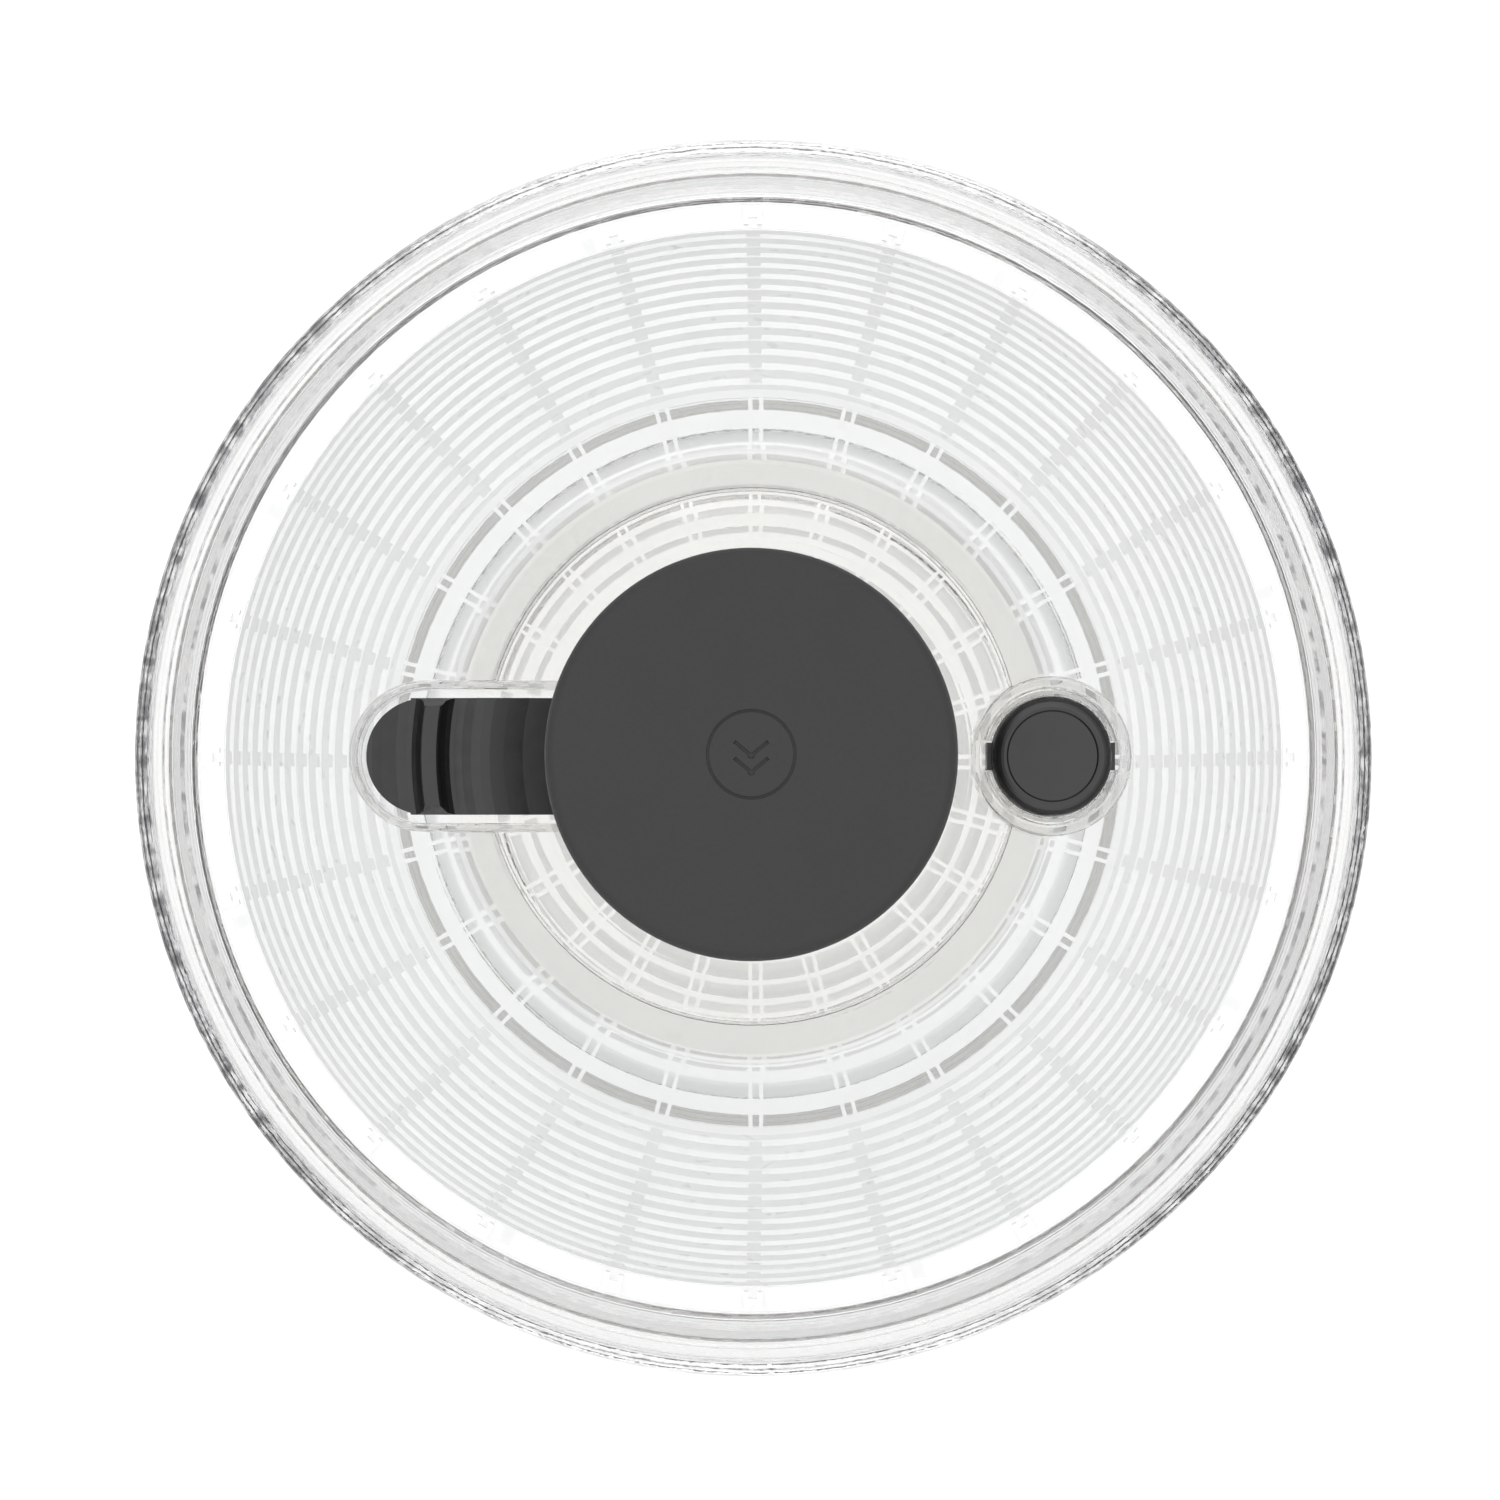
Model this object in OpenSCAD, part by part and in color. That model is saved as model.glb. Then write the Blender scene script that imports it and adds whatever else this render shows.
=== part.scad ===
// Salad spinner: a clear bowl, a slotted basket and a clear lid with a pump knob,
// a brake button and a knob lock. Millimetres, Z up, origin under the middle of the bowl.
// Seen from above, +X is the brake button's side and -X is the lock's side.

/* [Bowl] */
// Outer radius of the bowl's rim
rim_r = 133.5; // [133:0.1:134]
// Height of the bowl's rim
rim_z = 138; // [137.8:0.1:138.4]
// Thickness of the bowl's wall
bowl_wall = 2.6; // [2.2:0.1:2.8]
// Gap between the basket's inner face and the bowl's inner face
bowl_gap = 6.5; // [6.3:0.1:6.7]

/* [Side walls] */
// Radius of the arc that the basket's inner face follows, seen from the side
side_arc_r = 430; // [428:1:432]
// Height of that arc's centre
side_arc_z = 174; // [173:0.5:175]
// How far that arc's centre lies beyond the axis
side_arc_x = 312.9; // [312.7:0.1:313.1]

/* [Basket] */
// Number of upright ribs
rib_count = 24; // [12:12:36]
// Width of a rib
rib_w = 3; // [2.4:0.2:3.4]
// Number of rows of slots in the side
slot_rows = 13; // [11:1:13]
// Distance from one row of slots to the next
slot_pitch = 8; // [7.6:0.1:8]
// Height of a side slot
slot_h = 3.6; // [2.4:0.2:4.4]
// Underside of the basket's floor
floor_z = 20; // [19.9:0.05:20.1]

/* [Lid] */
// Outer radius of the lid's edge
lid_r = 129.9; // [129.5:0.1:130.1]
// Height of the flat top that the knob closes on to
top_z = 152.8; // [152.7:0.1:153]
// Thickness of the lid
lid_wall = 2.4; // [2:0.1:2.6]
// Distance of the brake button from the axis
brake_x = 63.6; // [63:0.1:64.4]
// Radius of the brake button
brake_r = 12.7; // [12:0.1:12.8]
// Distance of the lock's round end from the axis
lock_x = 69.7; // [69:0.1:70]
// Half the width of the lock slider
lock_half_w = 12.45; // [11.5:0.05:12.6]

/* [Knob and drive] */
// Radius of the knob
knob_r = 42.4; // [41:0.1:44]
// Top of the knob when it is up
knob_top_z = 190; // [189.9:0.05:190.2]
// Travel of the knob from up to down
stroke = 26; // [25.8:0.1:26]
// Travel of the knob that turns the spindle once
spindle_lead = 26; // [20:1:40]
// Number of teeth in the ratchet
ratchet_teeth = 24; // [24:24:24]

/* [Hidden] */
$fn = 96;
mesh_fn = 32;
big_fn = 180;
play = 0.06; // radial play of a running fit

// Foot of the bowl
grip_in_r = 83.4;
grip_out_r = 89.4;

// Basket
ring_t = 1.4;
rib_inset = 0.4;
rib_out = 2.8;
first_slot_z = 27;
floor_t = 2;
slat_gap = 1.3;
slat_w = 1;
floor_rings = [
    [12, 30.4], [33.4, 36.4], [39.4, 42.4], [45.4, 48.4], [51.4, 54.3],
    [57.5, 60.5], [63.5, 77.7], [80.9, 84.7], [87.7, 89.4]
];
flange_z = 126.5;
flange_t = 2;
flange_r = 120.3;
tooth_h = 2.7;

// Drive plate
plate_z = 129;
plate_t = 2;
plate_r = 114.8;
lug_r = 118.3;
lug_w = 2.8;
lug_count = 8;
lug_start = 17.8;
well_r = 29.5;
well_t = 2;
well_z = 97.2;

// Mechanism housing
housing_r = 28;
housing_t = 1.8;
housing_z = 106;
housing_top_z = 150.2;
housing_flange_z = 143.6;
housing_flange_r = 40;
screw_ring_r = 36;
boss_r = 4;
journal_r = 5;
bush_r = 8;

// Knob and plunger
knob_skirt_z = knob_top_z - 11;
sleeve_r = 20;
sleeve_t = 2;
sleeve_z = 144;
catch_z = 146.7;
catch_h = 3;
catch_half_w = 6.3;
spindle_top_z = 150.5;

// Clutch
driver_z = 98.6;
pawl_pivot_r = 15;
pawl_pivot_a = 23;
pawl_tip_r = 19.75;
pawl_tip_a = -0.4;
pawl_z = 100.4;
pawl_h = 3.2;
ratchet_tip_r = 21.2;
ratchet_root_r = 23.2;
ratchet_z = 99.8;
ratchet_h = 4.6;

// Brake
key_half_w = 2.9;

// Lock
well_half_w = 14.3;
well_outer_w = 16.1;
well_floor_z = 146.5;
well_floor_t = 2.2;
well_end_x = -34;
lock_travel = 5;
lock_neck_x = -60;
lock_neck_r = 3.4;
lock_end_x = -39.6;
tongue_half_w = 6;
tongue_z = 147.2;
tongue_end_x = -23.1;
detent_x = -73;

// Colours
clear = [0.86, 0.90, 0.92, 0.4];
milky = [0.93, 0.94, 0.94];
charcoal = [0.22, 0.22, 0.22];
black = [0.07, 0.07, 0.07];
grey_rubber = [0.55, 0.54, 0.53];
white_acetal = [0.88, 0.88, 0.86];
steel = [0.72, 0.73, 0.75];

// Radius of the side wall at height z, for a face that lies off mm outside the basket's inner face
function side_r(z, off) = sqrt(pow(side_arc_r + off, 2) - pow(side_arc_z - z, 2)) - side_arc_x;

// Points of a side face from height z0 to z1
function side_points(z0, z1, off, n) = [
    for (i = [0 : n]) let (z = z0 + (z1 - z0) * i / n) [side_r(z, off), z]
];

// Points of an arc in a profile, round centre c, from angle a0 to a1
function arc_points(c, r, a0, a1, n) = [
    for (i = [0 : n]) let (a = a0 + (a1 - a0) * i / n) [c[0] + r * cos(a), c[1] + r * sin(a)]
];

// Closed round-wire helix as a polyhedron, with its wire's centre between z0 and z1
module coil(r, wire_r, z0, z1, turns, sides = 8, per_turn = 24) {
    rings = turns * per_turn;
    points = [
        for (i = [0 : rings])
            let (a = 360 * i / per_turn, z = z0 + (z1 - z0) * i / rings)
                for (j = [0 : sides - 1])
                    let (b = 360 * j / sides, q = r + wire_r * cos(b))
                        [q * cos(a), q * sin(a), z + wire_r * sin(b)]
    ];
    skin = [
        for (i = [0 : rings - 1], j = [0 : sides - 1])
            let (k = (j + 1) % sides)
                [i * sides + j, i * sides + k, (i + 1) * sides + k, (i + 1) * sides + j]
    ];
    start = [[for (j = [sides - 1 : -1 : 0]) j]];
    finish = [[for (j = [0 : sides - 1]) rings * sides + j]];
    polyhedron(points = points, faces = concat(skin, start, finish), convexity = 10);
}

// Flat ring standing on height z
module ring(r_in, r_out, z, h) {
    translate([0, 0, z]) linear_extrude(h) difference() {
        circle(r_out);
        circle(r_in);
    }
}

// Pan-head screw pointing up: head below height z, shank above it
module pan_screw(head_r, head_h, shank_r, shank_l, z) {
    translate([0, 0, z - head_h]) cylinder(r = head_r, h = head_h);
    translate([0, 0, z]) cylinder(r = shank_r, h = shank_l);
}

module bowl() {
    ledge_z = 131.5;
    ledge_r = lid_r + 0.5;
    off_out = bowl_gap + bowl_wall;
    color(clear) rotate_extrude($fn = big_fn) polygon(concat(
        [[0, 2.6], [81.8, 2.6], [82.6, 1], [grip_in_r, 1], [grip_in_r, 3]],
        [[grip_out_r, 3], [grip_out_r, 1], [90.4, 1], [91, 1.6]],
        side_points(2.4, 125.5, off_out, 16),
        [[124.6, 127], [125.4, 128.3], [rim_r - 3, 128.5], [rim_r - 2.6, 128.6]],
        [[rim_r - 0.5, 126.5], [rim_r - 0.2, 126.5], [rim_r, 126.8]],
        arc_points([rim_r - 0.9, rim_z - 0.9], 0.9, 0, 90, 3),
        arc_points([ledge_r + 0.8, rim_z - 0.8], 0.8, 90, 180, 3),
        [[ledge_r, ledge_z], [side_r(ledge_z, bowl_gap) - 0.5, ledge_z]],
        side_points(129, 16, bowl_gap, 14),
        arc_points([82.6, 16.4], 11, -17, -90, 6),
        [[14, 5.4], [12, 6.6], [7.5, 12.6], [4, 13.4], [4, 18.2], [3.2, 19], [0, 19]]
    ));
}

module bowl_grip_ring() {
    color(grey_rubber) difference() {
        ring(grip_in_r, grip_out_r, 0, 3);
        for (r = [grip_in_r + 1.5 : 1.5 : grip_out_r - 1]) ring(r - 0.3, r + 0.3, -1, 1.5);
    }
}

// Bearing that stands on the bowl's centre pin and carries the basket
module pivot_cup() {
    color(white_acetal) difference() {
        union() {
            translate([0, 0, 13.9]) cylinder(r = 7.5, h = 8.9);
            translate([0, 0, 15]) cylinder(r = 11, h = 1.6);
        }
        translate([0, 0, 13]) cylinder(r = 4 + play, h = 6.1);
    }
}

module basket_floor() {
    translate([0, 0, floor_z]) linear_extrude(floor_t) {
        for (band = floor_rings) difference() {
            circle(band[1]);
            circle(band[0]);
        }
        for (i = [0 : rib_count - 1], side = [-1, 1])
            rotate(360 * i / rib_count)
                translate([29, side * slat_gap - slat_w / 2]) square([60, slat_w]);
    }
}

module basket_hub() {
    rotate_extrude() polygon([
        [7.5 + play, 16.8], [13.4, 16.8], [14, 17.4], [15, floor_z + 0.2], [15, 21],
        [12, 24.6], [0, 24.8], [0, 23], [7.5 + play, 23]
    ]);
}

// One upright rib on the outside of the basket
module basket_rib() {
    translate([0, rib_w / 2, 0]) rotate([90, 0, 0]) linear_extrude(rib_w) polygon(concat(
        side_points(floor_z + 1.6, flange_z + 0.5, rib_out, 8),
        side_points(flange_z + 0.5, floor_z + 1.6, rib_inset, 8)
    ));
}

// H-shaped stop on the flange above a rib, which the drive plate's lugs push
module basket_tooth() {
    translate([115.8, 0, flange_z + flange_t - 0.2]) {
        for (side = [-1, 1]) translate([0, side * 1.5 - 0.5, 0]) cube([4, 1, tooth_h + 0.2]);
        translate([1.5, -1.2, 0]) cube([1, 2.4, tooth_h + 0.2]);
    }
}

module basket_wall() {
    low_z = first_slot_z - slot_h / 2;
    rotate_extrude($fn = big_fn) polygon(concat(
        [[87.7, floor_z], [89.2, floor_z]],
        side_points(floor_z + 1, low_z, ring_t, 2),
        side_points(low_z, floor_z + 2.6, 0, 1),
        [[87.7, floor_z + floor_t]]
    ));
    for (i = [0 : slot_rows - 2]) {
        z0 = first_slot_z + slot_pitch * i + slot_h / 2;
        z1 = z0 + slot_pitch - slot_h;
        rotate_extrude($fn = big_fn)
            polygon(concat(side_points(z0, z1, ring_t, 1), side_points(z1, z0, 0, 1)));
    }
    z_last = first_slot_z + slot_pitch * (slot_rows - 1) + slot_h / 2;
    rotate_extrude($fn = big_fn) polygon([
        [side_r(z_last, ring_t), z_last], [side_r(flange_z, ring_t), flange_z],
        [flange_r - 1, flange_z], [flange_r - 1, flange_z - 2], [flange_r, flange_z - 2],
        [flange_r, flange_z + flange_t], [side_r(flange_z + flange_t, 0), flange_z + flange_t],
        [side_r(z_last, 0), z_last]
    ]);
}

module basket() {
    color(milky) {
        basket_floor();
        basket_hub();
        basket_wall();
        for (i = [0 : rib_count - 1]) rotate(360 * i / rib_count) {
            basket_rib();
            basket_tooth();
        }
    }
}

// Outline of the lock's well seen from above, grown by half_w to each side
module lock_outline(half_w, end_x) {
    translate([-lock_x, 0]) circle(half_w);
    translate([-lock_x, -half_w]) square([lock_x + end_x, 2 * half_w]);
}

// The lid's revolved body, before the well and the brake's boss
module lid_body() {
    rotate_extrude($fn = big_fn) polygon(concat(
        [[121.9, 131.6], [lid_r, 131.6]],
        arc_points([lid_r - 1.1, 136.5], 1.1, 0, 90, 3),
        [[127.6, 137.6], [127, 136.9], [126.4, 136.9], [126.1, 138]],
        [[125.3, 138.8], [120, 139.7], [110, 141], [98, 142.1], [85, 143.1], [72, 143.9]],
        [[67.4, 144.2], [66, 144.6], [64.9, 145.2], [58, 150.6], [57.3, 151.2]],
        [[57.1, 151.6], [56.6, 151.6], [56.4, 151.3], [55.8, 151.4], [52, 152.2], [48.7, 152.65]],
        [[46.5, top_z], [sleeve_r + play, top_z], [sleeve_r + play, top_z - lid_wall]],
        [[46.5, 150.4], [54.6, 149.2], [56.4, 148.4], [63, 143.2], [65.4, 142]],
        [[72, 141.5], [85, 140.7], [98, 139.7], [110, 138.6], [119.6, 137.3], [122.6, 136.4]],
        [[123.6, 135], [123.6, 133.9], [121.9, 133.6]]
    ));
}

// Side wall of the lock's well: its section runs round the end and along both sides
module lock_well_wall() {
    low_z = 142.4;
    section = concat(
        [[well_half_w, low_z], [well_outer_w, low_z]],
        arc_points([well_outer_w - 0.7, top_z - 0.7], 0.7, 0, 90, 3),
        arc_points([well_half_w + 0.5, top_z - 0.5], 0.5, 90, 180, 2)
    );
    translate([-lock_x, 0, 0]) {
        rotate(90) rotate_extrude(angle = 180) polygon(section);
        for (side = [0, 1]) mirror([0, side, 0])
            rotate([90, 0, 90]) linear_extrude(lock_x + well_end_x + 1.8) polygon(section);
    }
    translate([well_end_x, -well_outer_w, low_z]) cube([1.8, 2 * well_outer_w, top_z - 1 - low_z]);
}

// Collar round the brake button: an outer wall, and a lower inner wall that guides the button
module brake_boss() {
    guide_r = brake_r + 0.25;
    translate([brake_x, 0, 0]) rotate_extrude() polygon(concat(
        [[15.2, 142], [17, 142]],
        arc_points([16.2, top_z - 0.8], 0.8, 0, 90, 3),
        arc_points([14.9, top_z - 0.5], 0.5, 90, 180, 2),
        [[14.4, 150.4], [guide_r + 0.4, 150.2], [guide_r, 149.8]],
        [[guide_r, 136.8], [14.2, 136.8], [14.2, 148.6], [15.2, 148.6]]
    ));
}

module lid_shell() {
    color(clear) difference() {
        union() {
            difference() {
                lid_body();
                translate([0, 0, 130]) linear_extrude(40) lock_outline(well_half_w, well_end_x);
                translate([brake_x, 0, 130]) cylinder(r = 15.2, h = 40);
            }
            lock_well_wall();
            translate([0, 0, well_floor_z - well_floor_t]) linear_extrude(well_floor_t)
                lock_outline(well_half_w + 0.4, well_end_x + 0.4);
            brake_boss();
            for (a = [45 : 90 : 315]) rotate(a) translate([screw_ring_r, 0, 146])
                cylinder(r = boss_r, h = 5.4);
        }
        // slots of the brake button's keys, and the notches above them
        for (side = [0, 1]) translate([brake_x, 0, 0]) mirror([side, 0, 0]) {
            translate([12.6, -key_half_w - 0.3, 138.4]) cube([1.9, 2 * key_half_w + 0.6, 20]);
            translate([14, -key_half_w - 0.5, 150.3]) cube([2.2, 2 * key_half_w + 1, 5]);
        }
        // slot for the lock's neck, and the window for its tongue
        long_slot(lock_neck_x, lock_neck_x + lock_travel, lock_neck_r + 0.2, 140, 8);
        translate([well_end_x - 1, -catch_half_w, 146.9]) cube([4, 2 * catch_half_w, 2.7]);
        // seat of the detent spring
        translate([detent_x - 8, -3.3, 145.5]) cube([16, 6.6, 2]);
        // pilot holes of the housing's screws
        for (a = [45 : 90 : 315]) rotate(a) translate([screw_ring_r, 0, 145])
            cylinder(r = 1.25, h = 6.2);
    }
}

// Slot with round ends along X, from height z upwards
module long_slot(x0, x1, r, z, h) {
    for (x = [x0, x1]) translate([x, 0, z]) cylinder(r = r, h = h);
    translate([x0, -r, z]) cube([x1 - x0, 2 * r, h]);
}

module mechanism_housing() {
    color(white_acetal) difference() {
        rotate_extrude() polygon([
            [bush_r, housing_z], [housing_r - 1, housing_z], [housing_r, housing_z + 1],
            [housing_r, housing_flange_z - 3], [housing_r + 2.4, housing_flange_z],
            [housing_flange_r, housing_flange_z], [housing_flange_r, 146], [housing_r, 146],
            [housing_r, housing_top_z], [housing_r - housing_t, housing_top_z],
            [housing_r - housing_t, 108], [bush_r, 108]
        ]);
        translate([-60, -30, 140]) cube([60 - 31.9, 60, 12]);
        translate([-32, -catch_half_w, 146.9]) cube([10, 2 * catch_half_w, 5]);
        for (a = [45 : 90 : 315]) rotate(a) translate([screw_ring_r, 0, 140])
            cylinder(r = 1.5, h = 8);
    }
}

module housing_screws() {
    color(steel) for (a = [45 : 90 : 315]) rotate(a) translate([screw_ring_r, 0, 0])
        pan_screw(2.7, 2, 1.2, 7.4, housing_flange_z);
}

module lower_bush() {
    color(white_acetal) rotate_extrude() polygon([
        [journal_r + play, 104.8], [10, 104.8], [10, housing_z], [bush_r, housing_z],
        [bush_r, 108.6], [journal_r + play, 108.6]
    ]);
}

module hub_bearing_ring() {
    color(white_acetal) ring(housing_r, well_r - play, 118, 6);
}

module knob_cap() {
    inner_r = knob_r - 2.1;
    color(charcoal) difference() {
        rotate_extrude($fn = big_fn) polygon(concat(
            [[0, knob_top_z - 2], [inner_r, knob_top_z - 2], [inner_r, knob_skirt_z]],
            arc_points([knob_r - 1.2, knob_skirt_z + 1.2], 1.2, -90, 0, 3),
            arc_points([knob_r - 2.4, knob_top_z - 2.4], 2.4, 0, 90, 6),
            [[0, knob_top_z]]
        ));
        // debossed ring with two chevrons that show the knob is pushed down
        ring(8.6, 9.3, knob_top_z - 0.5, 1);
        for (y = [-1.6, 1.8], side = [0, 1]) mirror([side, 0, 0])
            translate([0, y - 2.6, knob_top_z - 0.5]) rotate(40) translate([-0.35, 0, 0])
                cube([5.2, 0.8, 1]);
    }
}

module knob_core() {
    color(black) difference() {
        rotate_extrude() polygon([
            [0, knob_top_z - 4.5], [38, knob_top_z - 4.5], [38, knob_skirt_z + 0.2],
            [knob_r - 2.15, knob_skirt_z + 0.2], [knob_r - 2.15, knob_top_z - 2.05],
            [0, knob_top_z - 2.05]
        ]);
        for (a = [30 : 120 : 270]) rotate(a) translate([12, 0, 180]) cylinder(r = 1.5, h = 7.4);
    }
}

module knob_screws() {
    color(steel) for (a = [30 : 120 : 270]) rotate(a) translate([12, 0, 0])
        pan_screw(3, 2, 1.45, 4.3, 182.9);
}

module plunger_sleeve() {
    color(charcoal) difference() {
        rotate_extrude() polygon([
            [16, sleeve_z], [24.6, sleeve_z], [25.4, sleeve_z + 0.8], [25.4, sleeve_z + 2],
            [24.9, sleeve_z + 2.5], [sleeve_r, sleeve_z + 2.5], [sleeve_r, 185.4], [0, 185.4],
            [0, 182.9], [sleeve_r - sleeve_t, 182.9], [sleeve_r - sleeve_t, sleeve_z + 0.6],
            [16, sleeve_z + 0.6]
        ]);
        for (z = [catch_z, catch_z + stroke])
            translate([-sleeve_r - 1, -catch_half_w, z]) cube([4.6, 2 * catch_half_w, catch_h]);
        for (a = [30 : 120 : 270]) rotate(a) translate([12, 0, 180]) cylinder(r = 1.6, h = 8);
    }
}

// Section of the twisted spindle, grown by extra on every side
module spindle_section(extra) {
    square([8.4 + 2 * extra, 5 + 2 * extra], center = true);
}

// Twisted bar between heights z0 and z1. Its turn is set by its height, so a nut with the
// same twist always lines up with it.
module twisted_bar(z0, z1, extra) {
    turn = 360 / spindle_lead;
    rotate(-turn * (z0 - sleeve_z)) translate([0, 0, z0])
        linear_extrude(z1 - z0, twist = turn * (z1 - z0), slices = ceil((z1 - z0) * 1.2), segments = 16)
            spindle_section(extra);
}

module plunger_nut() {
    nut_z = sleeve_z + 0.6;
    color(white_acetal) difference() {
        translate([0, 0, nut_z]) cylinder(r = sleeve_r - sleeve_t - 0.05, h = 5);
        twisted_bar(nut_z - 1, nut_z + 6, 0.35);
    }
}

module return_spring() {
    color(steel) coil(22.2, 0.75, 108.8, 143.2, 6);
}

module spindle() {
    color(steel) {
        twisted_bar(111, spindle_top_z, 0);
        difference() {
            union() {
                translate([0, 0, 94.75]) cylinder(r = journal_r, h = 14.2);
                translate([0, 0, 108.7]) cylinder(r = 7, h = 2.8);
            }
            translate([0, 0, 94]) cylinder(r = 2, h = 9.5);
        }
    }
}

module clutch_driver() {
    color(black) difference() {
        union() {
            translate([0, 0, driver_z]) cylinder(r = 18, h = 1.6);
            translate([0, 0, driver_z]) cylinder(r = 9, h = 5.8);
        }
        translate([0, 0, driver_z - 1]) cylinder(r = journal_r + 0.02, h = 8);
        for (a = [0 : 120 : 240]) rotate(a + pawl_pivot_a)
            translate([pawl_pivot_r, 0, driver_z - 1]) cylinder(r = 1.2, h = 3);
    }
}

module pawl_pins() {
    color(steel) for (a = [0 : 120 : 240]) rotate(a + pawl_pivot_a)
        translate([pawl_pivot_r, 0, driver_z]) cylinder(r = 1.2, h = 5.6);
}

// Leaf springs that push the pawls outwards
module pawl_springs() {
    color(steel) for (a = [0 : 120 : 240]) rotate(a) hull() {
        rotate(32) translate([9.3, 0, pawl_z + 0.6]) cylinder(r = 0.2, h = 2, $fn = 12);
        rotate(9) translate([14, 0, pawl_z + 0.6]) cylinder(r = 0.2, h = 2, $fn = 12);
    }
}

module pawl(turn) {
    color(black) rotate(turn) difference() {
        hull() {
            rotate(pawl_pivot_a) translate([pawl_pivot_r, 0, pawl_z])
                cylinder(r = 2.2, h = pawl_h, $fn = mesh_fn);
            rotate(pawl_tip_a) translate([pawl_tip_r, 0, pawl_z])
                cylinder(r = 0.9, h = pawl_h, $fn = mesh_fn);
        }
        rotate(pawl_pivot_a) translate([pawl_pivot_r, 0, pawl_z - 1])
            cylinder(r = 1.2 + play, h = pawl_h + 2);
    }
}

module pawl_1() { pawl(0); }
module pawl_2() { pawl(120); }
module pawl_3() { pawl(240); }

module spindle_screw() {
    color(steel) pan_screw(4.5, 2.2, 1.95, 9, 93.8);
}

module spindle_washer() {
    color(steel) ring(2.1, 9, 93.8, 0.95);
}

module drive_plate() {
    color(clear) {
        rotate_extrude($fn = big_fn) polygon([
            [well_r, well_z], [well_r + well_t, well_z], [well_r + well_t, plate_z - 4],
            [well_r + well_t + 4, plate_z], [plate_r, plate_z], [plate_r, plate_z + plate_t],
            [well_r + 1, plate_z + plate_t], [well_r, plate_z + plate_t - 1]
        ]);
        for (i = [0 : lug_count - 1]) rotate(lug_start + 360 * i / lug_count)
            translate([plate_r - 1, -lug_w / 2, plate_z]) cube([lug_r - plate_r + 1, lug_w, plate_t]);
    }
}

// Sawtooth ring: each tooth's steep face takes the push of a pawl
module ratchet_ring() {
    step = 360 / ratchet_teeth;
    color(white_acetal) difference() {
        translate([0, 0, ratchet_z]) linear_extrude(ratchet_h) difference() {
            circle(well_r - 0.02);
            polygon([
                for (i = [0 : ratchet_teeth - 1], r = [ratchet_root_r, ratchet_tip_r])
                    let (a = i * step + (r == ratchet_tip_r ? step - 0.01 : 0))
                        [r * cos(a), r * sin(a)]
            ]);
        }
        for (a = [0 : 120 : 240]) rotate(a) translate([26.4, 0, ratchet_z - 1])
            cylinder(r = 1.05, h = 4.6);
    }
}

module hub_cover() {
    outer_r = well_r + well_t;
    color(clear) difference() {
        rotate_extrude() polygon([
            [journal_r + play, 95], [outer_r - 0.8, 95], [outer_r, 95.8], [outer_r, well_z],
            [well_r - 0.1, well_z], [well_r - 0.1, ratchet_z], [24, ratchet_z], [24, well_z],
            [journal_r + play, well_z]
        ]);
        for (a = [0 : 120 : 240]) rotate(a) translate([26.4, 0, 94]) cylinder(r = 1.2, h = 8);
    }
}

module hub_screws() {
    color(steel) for (a = [0 : 120 : 240]) rotate(a) translate([26.4, 0, 0])
        pan_screw(2.2, 1.6, 1, 8, 95);
}

module brake_button() {
    color(black) translate([brake_x, 0, 0]) {
        rotate_extrude() polygon(concat(
            [[0, 156], [9.4, 156], [9.75, 156.35]],
            arc_points([10.1, 153.8], 2.6, 84, 4, 6),
            [[brake_r, 152], [brake_r, 141], [11.2, 141], [11.2, 153], [10.4, 153.8]],
            [[4.5, 153.8], [4.5, 136.7], [3.9, 136.7], [3.9, 136], [4.5, 136], [4.5, 135.6], [0, 135.6]]
        ));
        for (side = [0, 1]) mirror([side, 0, 0])
            translate([11.9, -key_half_w, 141]) cube([1.7, 2 * key_half_w, 9.3]);
    }
}

module brake_pad() {
    color(grey_rubber) translate([brake_x, 0, 0]) rotate_extrude() polygon([
        [0, 133.5], [7.4, 133.5], [8, 134.1], [8, 135], [7.4, 135.6], [0, 135.6]
    ]);
}

module brake_clip() {
    color(steel) translate([brake_x, 0, 136.05]) linear_extrude(0.6) difference() {
        circle(6.4);
        circle(3.9);
        translate([0, -2.4]) square([10, 4.8]);
    }
}

module brake_seat() {
    color(white_acetal) translate([brake_x, 0, 0]) ring(4.75, brake_r + 0.25, 136.8, 1.8);
}

module brake_spring() {
    color(steel) translate([brake_x, 0, 0]) coil(8, 0.5, 139.15, 153.25, 5);
}

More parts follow.
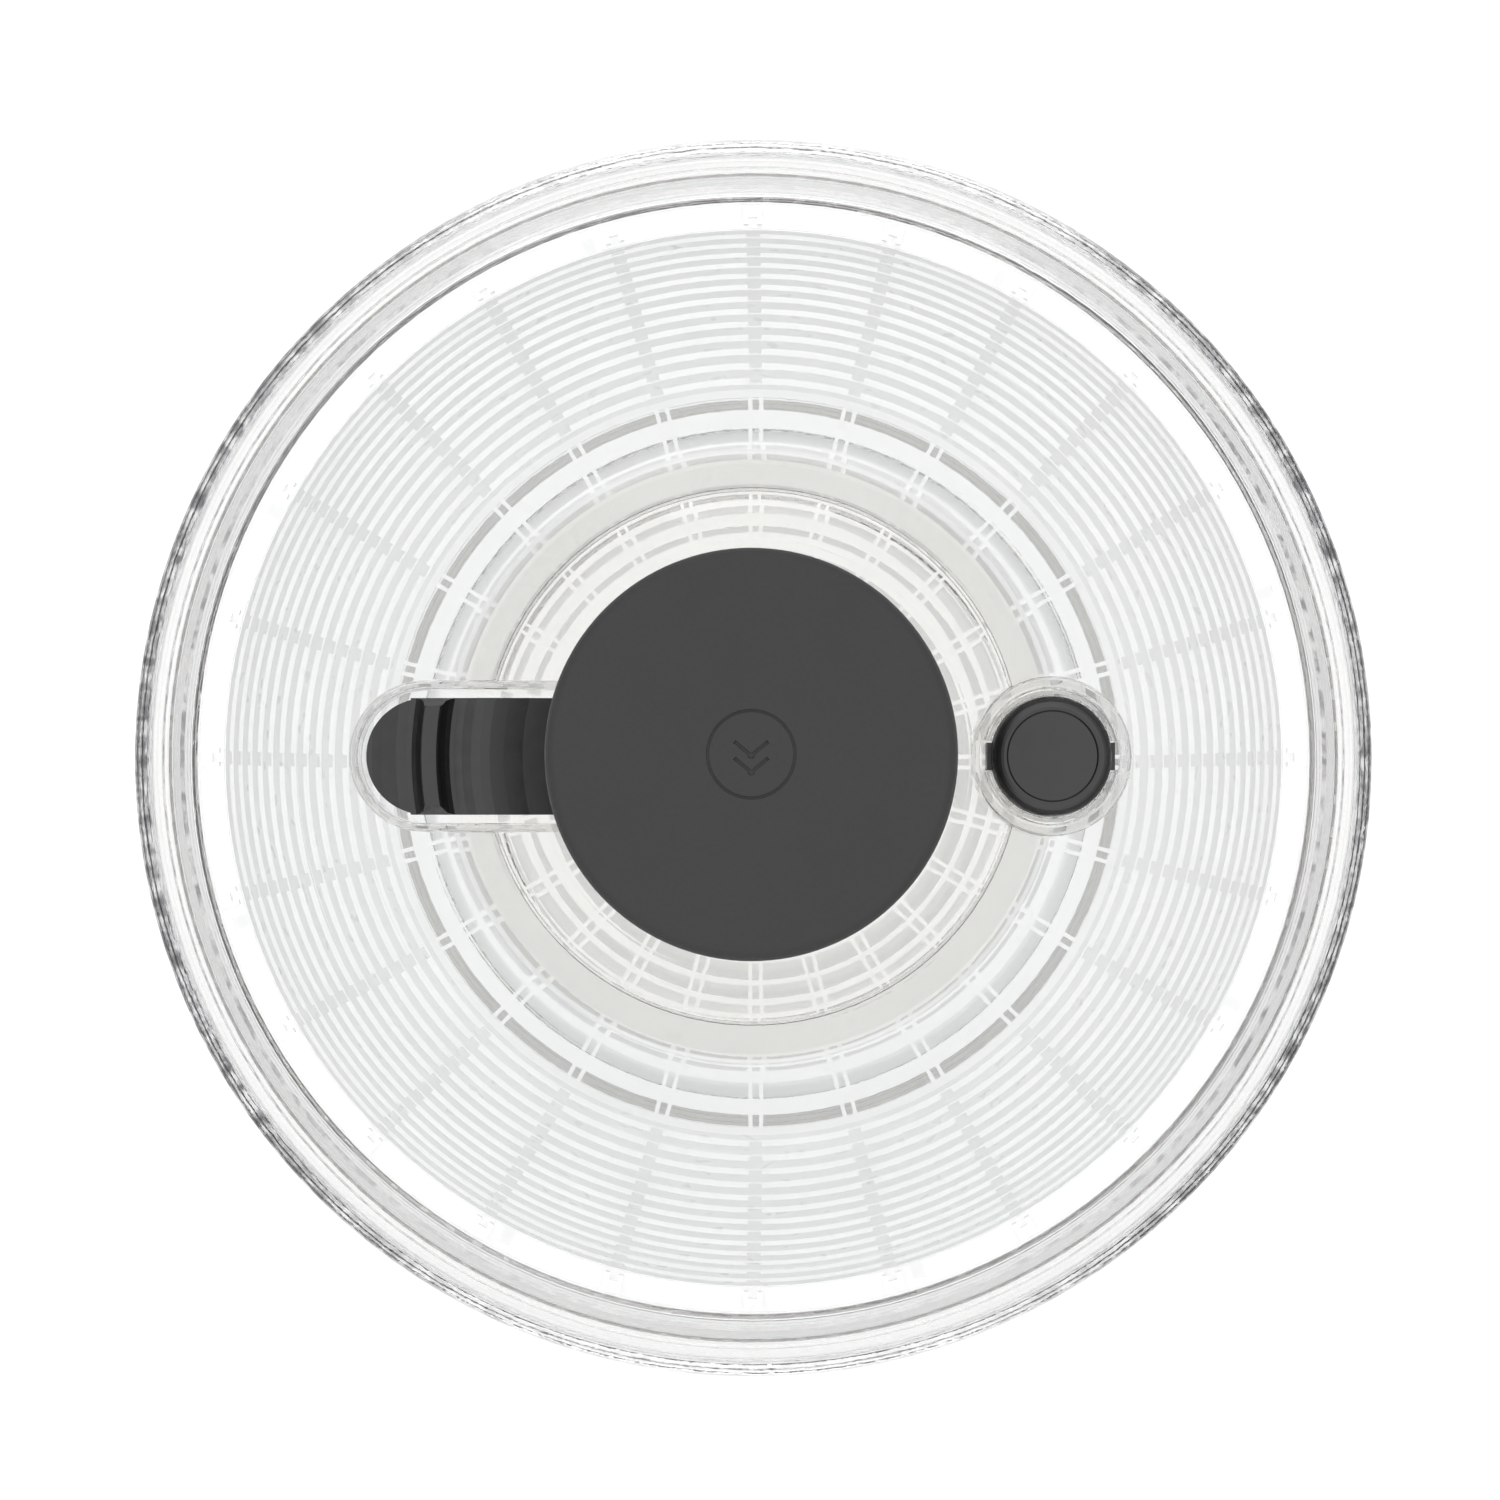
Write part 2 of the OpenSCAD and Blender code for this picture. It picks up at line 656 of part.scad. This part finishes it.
module lock_slider() {
    // The top is turned about the knob's axis, so the grip and its finger scoops follow the knob
    body_profile = concat(
        [[-lock_end_x, 147], [-lock_end_x, 149.2], [44, 149.4], [49, 150], [53, 150.8], [56, 151.3]],
        [[58, 151.35], [60, 150.9], [62, 150.1]],
        [[64.5, 149.5], [68.7, 149.3], [73, 149.5], [76, 150.1], [79, 151.2], [81, 152], [82.6, 152.2]],
        [[82.6, 147]]
    );
    grip_profile = concat(
        [[63.4, 148.5], [63.4, 149.65], [64.6, 149.8], [65.6, 150.5], [66.3, 151.6], [66.7, 153.3]],
        arc_points([67.4, 153.4], 0.6, 165, 90, 3),
        arc_points([70, 153.4], 0.6, 90, 15, 3),
        [[71, 151.6], [71.7, 150.5], [72.7, 149.8], [73.9, 149.65], [73.9, 148.5]]
    );
    // the rib's ends lean inwards from the slider's edges
    grip_ends = [
        [-lock_half_w, 148], [lock_half_w, 148], [lock_half_w, 149.8], [10.5, 154.4],
        [-10.5, 154.4], [-lock_half_w, 149.8]
    ];
    color(black) difference() {
        union() {
            intersection() {
                rotate(160) rotate_extrude(angle = 40) polygon(body_profile);
                translate([0, 0, 146.9]) linear_extrude(8) lock_outline(lock_half_w, lock_end_x);
            }
            intersection() {
                rotate(160) rotate_extrude(angle = 40) polygon(grip_profile);
                translate([-80, 0, 0]) rotate([90, 0, 90]) linear_extrude(20) polygon(grip_ends);
            }
            translate([lock_end_x - 1, -tongue_half_w, tongue_z])
                cube([tongue_end_x - lock_end_x + 1, 2 * tongue_half_w, 2]);
            translate([lock_neck_x, 0, 144.2]) cylinder(r = lock_neck_r, h = 3.8);
        }
        translate([lock_neck_x, 0, 143]) cylinder(r = 1.5, h = 6);
        for (x = [detent_x, detent_x - lock_travel])
            translate([x, 3.5, 145.6]) rotate([90, 0, 0]) cylinder(r = 1.9, h = 7);
    }
}

module lock_washer() {
    color(steel) translate([lock_neck_x, 0, 0]) ring(1.6, 6.5, 143, 1.1);
}

module lock_screw() {
    color(steel) translate([lock_neck_x, 0, 0]) pan_screw(3, 1.7, 1.45, 5.6, 143);
}

module lock_detent_spring() {
    color(steel) translate([detent_x, 0, 145.6]) {
        translate([-7.8, -3, 0]) cube([15.6, 6, 0.4]);
        intersection() {
            translate([0, 2.5, 0]) rotate([90, 0, 0]) cylinder(r = 1.3, h = 5);
            translate([-2, -3, 0.2]) cube([4, 6, 2]);
        }
    }
}

bowl();
bowl_grip_ring();
pivot_cup();
basket();
lid_shell();
mechanism_housing();
housing_screws();
lower_bush();
hub_bearing_ring();
knob_cap();
knob_core();
knob_screws();
plunger_sleeve();
plunger_nut();
return_spring();
spindle();
clutch_driver();
pawl_pins();
pawl_springs();
pawl_1();
pawl_2();
pawl_3();
spindle_screw();
spindle_washer();
drive_plate();
ratchet_ring();
hub_cover();
hub_screws();
brake_button();
brake_pad();
brake_clip();
brake_seat();
brake_spring();
lock_slider();
lock_washer();
lock_screw();
lock_detent_spring();
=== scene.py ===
"""Salad spinner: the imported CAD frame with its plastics, rubber and steel, on a pale sweep."""

import math

import bpy
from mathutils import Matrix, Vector


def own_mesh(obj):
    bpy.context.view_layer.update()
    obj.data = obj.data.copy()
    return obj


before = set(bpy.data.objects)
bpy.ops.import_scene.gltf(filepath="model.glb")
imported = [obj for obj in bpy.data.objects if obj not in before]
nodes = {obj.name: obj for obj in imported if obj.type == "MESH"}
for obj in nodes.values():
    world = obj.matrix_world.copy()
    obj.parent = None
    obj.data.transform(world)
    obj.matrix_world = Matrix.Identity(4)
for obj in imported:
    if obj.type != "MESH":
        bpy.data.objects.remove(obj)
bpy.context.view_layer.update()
MM = 0.001


# ---------------------------------------------------------------- node helpers


class Graph:
    """A small helper that adds and joins nodes in one tree."""

    def __init__(self, tree):
        self.tree = tree
        tree.nodes.clear()

    def node(self, kind, inputs=None, **settings):
        n = self.tree.nodes.new(kind)
        for key, value in settings.items():
            setattr(n, key, value)
        for key, value in (inputs or {}).items():
            if isinstance(value, bpy.types.NodeSocket):
                self.tree.links.new(value, n.inputs[key])
            else:
                n.inputs[key].default_value = value
        return n

    def math(self, operation, a, b=0.0):
        return self.node("ShaderNodeMath", {0: a, 1: b}, operation=operation).outputs[0]

    def spread(self, value, low, high, to_low, to_high, smooth=False):
        kind = "SMOOTHSTEP" if smooth else "LINEAR"
        return self.node(
            "ShaderNodeMapRange",
            {"Value": value, 1: low, 2: high, 3: to_low, 4: to_high},
            interpolation_type=kind,
        ).outputs[0]

    def noise(self, vector, scale, detail=3.0, rough=0.5):
        return self.node(
            "ShaderNodeTexNoise",
            {"Vector": vector, "Scale": scale, "Detail": detail, "Roughness": rough},
        ).outputs["Fac"]

    def ramp(self, value, dark, light):
        n = self.node("ShaderNodeValToRGB", {"Fac": value})
        n.color_ramp.elements[0].color = (*dark, 1)
        n.color_ramp.elements[1].color = (*light, 1)
        return n.outputs["Color"]

    def blend(self, factor, a, b):
        return self.node(
            "ShaderNodeMix", {"Factor": factor, 6: a, 7: b}, data_type="RGBA"
        ).outputs[2]

    def bump(self, height, distance, strength=1.0):
        return self.node(
            "ShaderNodeBump", {"Height": height, "Distance": distance, "Strength": strength}
        ).outputs["Normal"]


def material(name):
    m = bpy.data.materials.new(name)
    m.use_nodes = True
    g = Graph(m.node_tree)
    place = g.node("ShaderNodeTexCoord").outputs["Object"]
    return m, g, place


def finish_material(m, g, shader):
    g.node("ShaderNodeOutputMaterial", {"Surface": shader})
    return m


# ------------------------------------------------------------------- materials


def lets_light_by(g, shader, tint, bounced):
    """Lets light through to what is behind a clear or milky wall, which keeps the picture clean."""
    path = g.node("ShaderNodeLightPath").outputs
    share = path["Is Shadow Ray"]
    if bounced:
        share = g.math("MAXIMUM", share, path["Is Diffuse Ray"])
    through = g.node("ShaderNodeBsdfTransparent", {"Color": tint}).outputs[0]
    return g.node("ShaderNodeMixShader", {0: share, 1: shader, 2: through}).outputs[0]


def radius_of(g, place):
    """Distance from the spinner's axis."""
    xyz = g.node("ShaderNodeSeparateXYZ", {"Vector": place}).outputs
    squares = [g.math("MULTIPLY", xyz[i], xyz[i]) for i in (0, 1)]
    return g.math("SQRT", g.math("ADD", *squares))


def clear_plastic(name, depth, warm_to=None, rim_from=None):
    """Water-clear moulded plastic that darkens with the depth of plastic the light crosses. Inside
    radius warm_to, over the thick turret, it is faintly warm. Beyond rim_from it is the bowl's
    ground lip, which is uneven and streaked, with a painted dark reflection in patchy streaks,
    strongest at the two sides where the low dark flags stand."""
    m, g, place = material(name)
    radius = radius_of(g, place)
    colour, uneven = (0.992, 0.995, 0.995, 1), 0.03
    streaks = g.noise(place, 260.0, 3.0, 0.65)
    if warm_to:
        warm = g.spread(radius, warm_to - 2 * MM, warm_to + 2 * MM, 1.0, 0.0, True)
        colour = g.blend(warm, colour, (0.975, 0.962, 0.945, 1))
    # painted reflection: beyond rim_from the colour goes towards near-black, most at the two sides
    # (|x| over radius), standing in for the dark side flags the lip reflects
    if rim_from:
        lip = g.spread(radius, rim_from - 0.2 * MM, rim_from + 0.2 * MM, 0.0, 1.0, True)
        along = g.node("ShaderNodeSeparateXYZ", {"Vector": place}).outputs[0]
        share = g.math("ABSOLUTE", g.math("DIVIDE", along, radius))
        painted_flag_reflection = g.math("MULTIPLY", lip, g.spread(share, 0.2, 0.9, 0.3, 1.0, True))
        patchy = g.spread(streaks, 0.38, 0.62, 0.35, 1.0, True)
        colour = g.blend(g.math("MULTIPLY", painted_flag_reflection, patchy), colour, (0.10, 0.10, 0.105, 1))
        uneven = g.spread(lip, 0.0, 1.0, 0.03, 1.0)
    shader = g.node(
        "ShaderNodeBsdfPrincipled",
        {
            "Base Color": colour,
            "Roughness": 0.0,
            "IOR": 1.5,
            "Transmission Weight": 1.0,
            "Normal": g.bump(streaks, 0.1 * MM, uneven),
        },
    ).outputs[0]
    body = g.node("ShaderNodeVolumeAbsorption", {"Color": (0.52, 0.50, 0.48, 1), "Density": depth})
    surface = lets_light_by(g, shader, (0.94, 0.945, 0.945, 1), True)
    g.node("ShaderNodeOutputMaterial", {"Surface": surface, "Volume": body.outputs[0]})
    return m


def milky_plastic(name):
    """Translucent white polypropylene with a soft mottled body. It has a faint painted glow, an
    emission that stands in for the light its thin walls would carry inside them."""
    m, g, place = material(name)
    cloud = g.noise(place, 40.0, 3.0)
    colour = g.ramp(cloud, (0.85, 0.855, 0.855), (0.91, 0.91, 0.908))
    rough = g.spread(g.noise(place, 220.0, 2.0), 0.3, 0.7, 0.26, 0.38)
    grain = g.noise(place, 1500.0, 2.0)
    shader = g.node(
        "ShaderNodeBsdfPrincipled",
        {
            "Base Color": colour,
            "Roughness": rough,
            "IOR": 1.49,
            # painted glow: a faint emission brightens the basket though it is no lamp
            "Emission Color": (0.97, 0.98, 0.98, 1),
            "Emission Strength": 0.03,
            "Normal": g.bump(grain, 0.00003, 0.5),
        },
    ).outputs[0]
    return finish_material(m, g, lets_light_by(g, shader, (0.95, 0.95, 0.95, 1), False))


def soft_touch(name):
    """Charcoal thermoplastic rubber: fine pebbled grain, dull sheen and faint mottling."""
    m, g, place = material(name)
    cloud = g.noise(place, 60.0, 5.0, 0.65)
    speck = g.noise(place, 900.0, 3.0, 0.7)
    both = g.math("ADD", g.math("MULTIPLY", cloud, 0.6), g.math("MULTIPLY", speck, 0.4))
    colour = g.ramp(both, (0.012, 0.012, 0.0122), (0.028, 0.028, 0.0284))
    rough = g.spread(cloud, 0.3, 0.7, 0.62, 0.74)
    grain = g.noise(place, 2600.0, 3.0, 0.6)
    shader = g.node(
        "ShaderNodeBsdfPrincipled",
        {
            "Base Color": colour,
            "Roughness": rough,
            "Specular IOR Level": 0.35,
            "Sheen Weight": 0.12,
            "Sheen Roughness": 0.5,
            "Normal": g.bump(grain, 0.00006, 0.7),
        },
    ).outputs[0]
    return finish_material(m, g, shader)


def satin_plastic(name, dark, light, rough_low, rough_high, grain_scale=1800.0, depth=0.00003):
    """Opaque moulded plastic with a fine spark-eroded grain."""
    m, g, place = material(name)
    cloud = g.noise(place, 90.0, 4.0, 0.6)
    colour = g.ramp(cloud, dark, light)
    rough = g.spread(g.noise(place, 260.0, 3.0), 0.3, 0.7, rough_low, rough_high)
    grain = g.noise(place, grain_scale, 2.0, 0.6)
    shader = g.node(
        "ShaderNodeBsdfPrincipled",
        {"Base Color": colour, "Roughness": rough, "Normal": g.bump(grain, depth, 0.6)},
    ).outputs[0]
    return finish_material(m, g, shader)


def ringed_rubber(name):
    """Grey rubber with fine turned rings, a little lighter on the ridges."""
    m, g, place = material(name)
    radius = radius_of(g, place)
    rings = g.math("SINE", g.math("MULTIPLY", radius, 2 * math.pi / (0.75 * MM)))
    cloud = g.noise(place, 70.0, 4.0)
    shade = g.math("ADD", g.math("MULTIPLY", cloud, 0.7), g.math("MULTIPLY", rings, 0.18))
    colour = g.ramp(shade, (0.46, 0.445, 0.43), (0.60, 0.585, 0.57))
    shader = g.node(
        "ShaderNodeBsdfPrincipled",
        {
            "Base Color": colour,
            "Roughness": g.spread(cloud, 0.3, 0.7, 0.6, 0.75),
            "Normal": g.bump(rings, 0.00008, 0.8),
        },
    ).outputs[0]
    return finish_material(m, g, shader)


def brushed_steel(name):
    """Drawn stainless wire and turned steel."""
    m, g, place = material(name)
    stretched = g.node(
        "ShaderNodeMapping", {"Vector": place, "Scale": (1.0, 1.0, 14.0)}
    ).outputs[0]
    lines = g.noise(stretched, 700.0, 3.0, 0.7)
    colour = g.ramp(lines, (0.50, 0.50, 0.51), (0.66, 0.66, 0.67))
    shader = g.node(
        "ShaderNodeBsdfPrincipled",
        {
            "Base Color": colour,
            "Metallic": 1.0,
            "Roughness": g.spread(lines, 0.3, 0.7, 0.22, 0.36),
            "Normal": g.bump(lines, 0.00002, 0.4),
        },
    ).outputs[0]
    return finish_material(m, g, shader)


CLEAR_BOWL = clear_plastic("clear_bowl_plastic", 2.0, rim_from=130.7 * MM)
CLEAR_LID = clear_plastic("clear_lid_plastic", 60.0, warm_to=64.5 * MM)
CLEAR = clear_plastic("clear_inner_plastic", 30.0)
MILKY = milky_plastic("milky_polypropylene")
TOUCH = soft_touch("charcoal_soft_touch")
BLACK = satin_plastic("black_satin", (0.005, 0.005, 0.005), (0.010, 0.010, 0.010), 0.34, 0.46)
STEM = satin_plastic("stem_satin", (0.012, 0.012, 0.013), (0.022, 0.022, 0.023), 0.24, 0.34)
ACETAL = satin_plastic("white_acetal", (0.66, 0.66, 0.645), (0.76, 0.76, 0.745), 0.36, 0.46)
GRIP = ringed_rubber("grey_grip_rubber")
PAD = satin_plastic("grey_pad_rubber", (0.16, 0.16, 0.16), (0.24, 0.24, 0.24), 0.6, 0.75)
STEEL = brushed_steel("spring_steel")

FINISHES = {
    CLEAR_BOWL: ["bowl"],
    CLEAR_LID: ["lid_shell"],
    CLEAR: ["drive_plate", "hub_cover"],
    MILKY: ["basket"],
    TOUCH: ["knob_cap"],
    BLACK: [
        "knob_core", "clutch_driver", "pawl_1", "pawl_2", "pawl_3", "brake_button", "lock_slider",
    ],
    STEM: ["plunger_sleeve"],
    GRIP: ["bowl_grip_ring"],
    PAD: ["brake_pad"],
    ACETAL: [
        "pivot_cup", "mechanism_housing", "lower_bush", "hub_bearing_ring", "plunger_nut",
        "ratchet_ring", "brake_seat",
    ],
    STEEL: [
        "housing_screws", "knob_screws", "return_spring", "spindle", "pawl_pins", "pawl_springs",
        "spindle_screw", "spindle_washer", "hub_screws", "brake_clip", "brake_spring",
        "lock_washer", "lock_screw", "lock_detent_spring",
    ],
}
for finish, names in FINISHES.items():
    for n in names:
        nodes[n].data.materials.clear()
        nodes[n].data.materials.append(finish)


# --------------------------------------------------------------------- springs

# joint that shortens each coil, how far it goes, and where the coil starts and ends
COILS = {
    "return_spring": ("knob_pump", 26.0, 108.05, 143.95),
    "brake_spring": ("brake_press", 2.3, 138.65, 153.75),
}
for name, (joint, travel, foot, top) in COILS.items():
    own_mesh(nodes[name])


# ----------------------------------------------------------------------- stage

floor_mesh = bpy.data.meshes.new("floor")
half = 12.0
drop = -0.3 * MM
floor_mesh.from_pydata(
    [(-half, -half, drop), (half, -half, drop), (half, half, drop), (-half, half, drop)],
    [],
    [(0, 1, 2, 3)],
)
floor = bpy.data.objects.new("floor", floor_mesh)
bpy.context.scene.collection.objects.link(floor)
m, g, place = material("pale_floor")
cloth = g.ramp(g.noise(place, 3.0, 2.0), (0.70, 0.70, 0.70), (0.73, 0.73, 0.73))
base = g.node("ShaderNodeBsdfDiffuse", {"Color": cloth}).outputs[0]
glow = g.node("ShaderNodeEmission", {"Color": (1, 1, 1, 1), "Strength": 0.14}).outputs[0]
floor_mesh.materials.append(
    finish_material(m, g, g.node("ShaderNodeAddShader", {0: base, 1: glow}).outputs[0])
)

world = bpy.data.worlds.new("studio")
bpy.context.scene.world = world
world.use_nodes = True
g = Graph(world.node_tree)
way = g.node(
    "ShaderNodeSeparateXYZ", {"Vector": g.node("ShaderNodeTexCoord").outputs["Generated"]}
).outputs
# two dark flags stand low at either side, and the dome is brightest half way up
side = g.spread(g.math("ABSOLUTE", way[0]), 0.35, 0.65, 0.0, 0.97, True)
low = g.spread(way[2], 0.40, 0.70, 1.0, 0.0, True)
flags = g.math("SUBTRACT", 1.0, g.math("MULTIPLY", side, low))
rise = g.spread(way[2], 0.10, 0.60, 0.10, 2.05, True)
top = g.spread(way[2], 0.80, 0.98, 0.0, 0.40, True)
dome = g.math("SUBTRACT", rise, top)
light = g.math("MULTIPLY", dome, flags)
# the camera sees a plain white sky, while the plastics reflect and refract the graded one
seen = g.node("ShaderNodeLightPath").outputs["Is Camera Ray"]
light = g.math("ADD", light, g.math("MULTIPLY", seen, g.math("SUBTRACT", 1.0, light)))
background = g.node("ShaderNodeBackground", {"Color": (1, 1, 1, 1), "Strength": light}).outputs[0]
g.node("ShaderNodeOutputWorld", {"Surface": background})


def softbox(name, place, aim, size, power):
    lamp = bpy.data.lights.new(name, "AREA")
    lamp.shape = "RECTANGLE"
    lamp.size, lamp.size_y = size
    lamp.energy = power
    o = bpy.data.objects.new(name, lamp)
    bpy.context.scene.collection.objects.link(o)
    o.location = place
    o.rotation_mode = "QUATERNION"
    o.rotation_quaternion = (Vector(aim) - Vector(place)).to_track_quat("-Z", "Y")


softbox("softbox_back", (0.0, 1.1, 1.5), (0, 0, 0.1), (1.6, 0.7), 4.0)

# ---------------------------------------------------------------------- camera

EYE = Vector((6.3 * MM, -10.7 * MM, 1138 * MM))
AIM = Vector((-0.6 * MM, 1.5 * MM, 138 * MM))
camera = bpy.data.objects.new("camera", bpy.data.cameras.new("camera"))
bpy.context.scene.collection.objects.link(camera)
camera.data.lens = 111.3
camera.data.sensor_width = 36.0
camera.data.clip_start = 0.05
camera.location = EYE
back = (EYE - AIM).normalized()
right = Vector((0, 1, 0)).cross(back).normalized()
up = back.cross(right)
camera.rotation_mode = "QUATERNION"
turn = camera.matrix_world.to_3x3()
turn.col[0], turn.col[1], turn.col[2] = right, up, back
camera.rotation_quaternion = turn.to_quaternion()
scene = bpy.context.scene
scene.camera = camera
scene.view_settings.view_transform = "Standard"
scene.cycles.max_bounces = 40
scene.cycles.transmission_bounces = 40
scene.cycles.transparent_max_bounces = 40
scene.cycles.glossy_bounces = 12
scene.cycles.diffuse_bounces = 6
